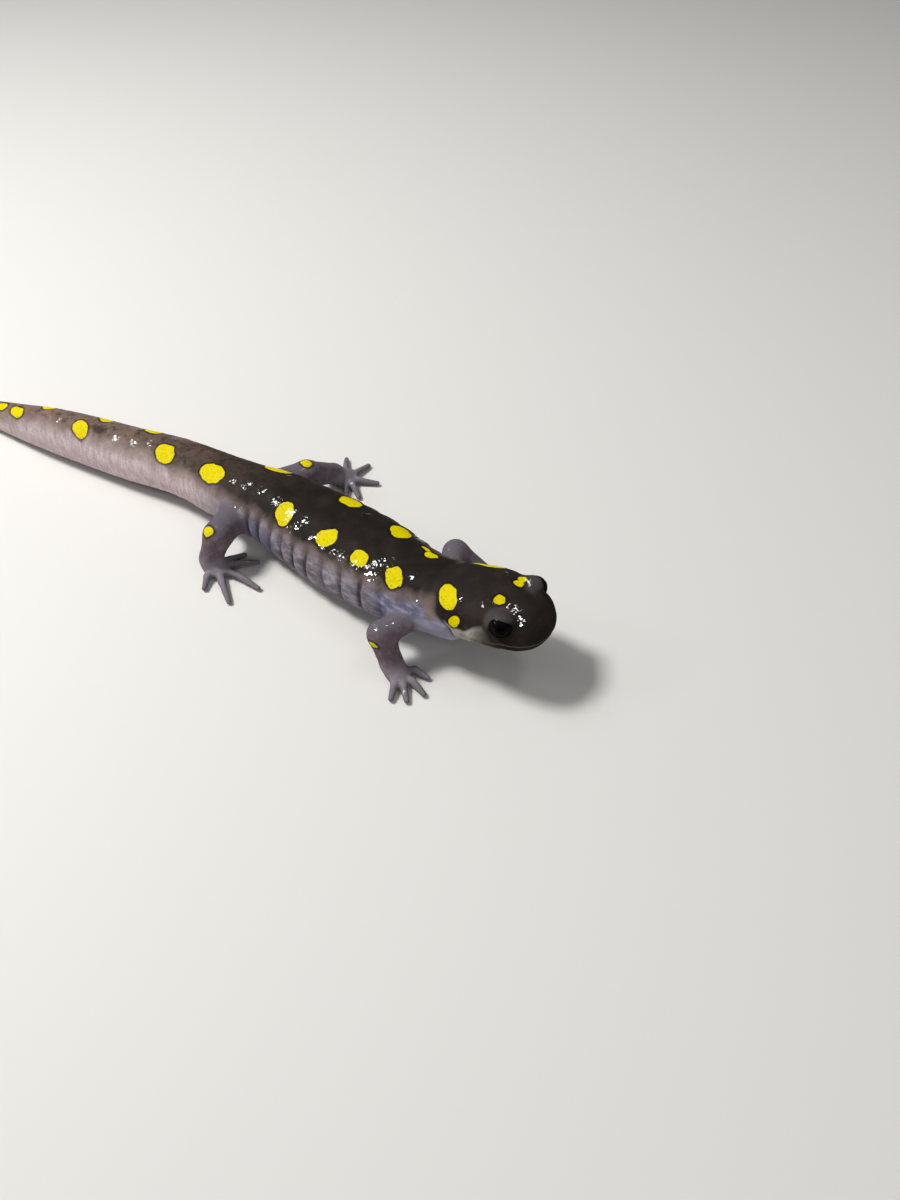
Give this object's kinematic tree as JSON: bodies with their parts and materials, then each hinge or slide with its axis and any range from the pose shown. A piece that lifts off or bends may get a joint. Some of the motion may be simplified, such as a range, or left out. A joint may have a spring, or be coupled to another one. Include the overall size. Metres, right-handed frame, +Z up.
{
  "type": "spotted salamander",
  "caption": "Spotted salamander standing on its feet and belly with its head raised, rows of yellow spots on a dark wet back, tail in a gentle curve.",
  "frame": {"origin": "the point on the floor under the middle of the animal's box", "axes": "+X towards the snout along the body, +Y to the animal's left, +Z up from the floor it stands on"},
  "size_m": [0.168, 0.048, 0.0185],
  "materials": {
    "skin": "wet, smooth amphibian skin, dark brown above and slate grey below, with bright yellow spots and a glossy film of moisture",
    "eye": "wet, polished, almost black eye"
  },
  "bodies": {
    "root": {"tail_tip": "skin", "tail_middle": "skin", "tail_base": "skin", "trunk_rear": "skin", "trunk_front": "skin", "neck": "skin", "head": "skin", "lower_jaw": "skin", "front_right_upper_arm": "skin", "front_right_forearm": "skin", "front_right_hand": "skin", "hind_right_thigh": "skin", "hind_right_shank": "skin", "hind_right_foot": "skin", "front_left_upper_arm": "skin", "front_left_forearm": "skin", "front_left_hand": "skin", "hind_left_thigh": "skin", "hind_left_shank": "skin", "hind_left_foot": "skin", "eye_right": "eye", "eye_left": "eye"}
  },
  "joints": []
}
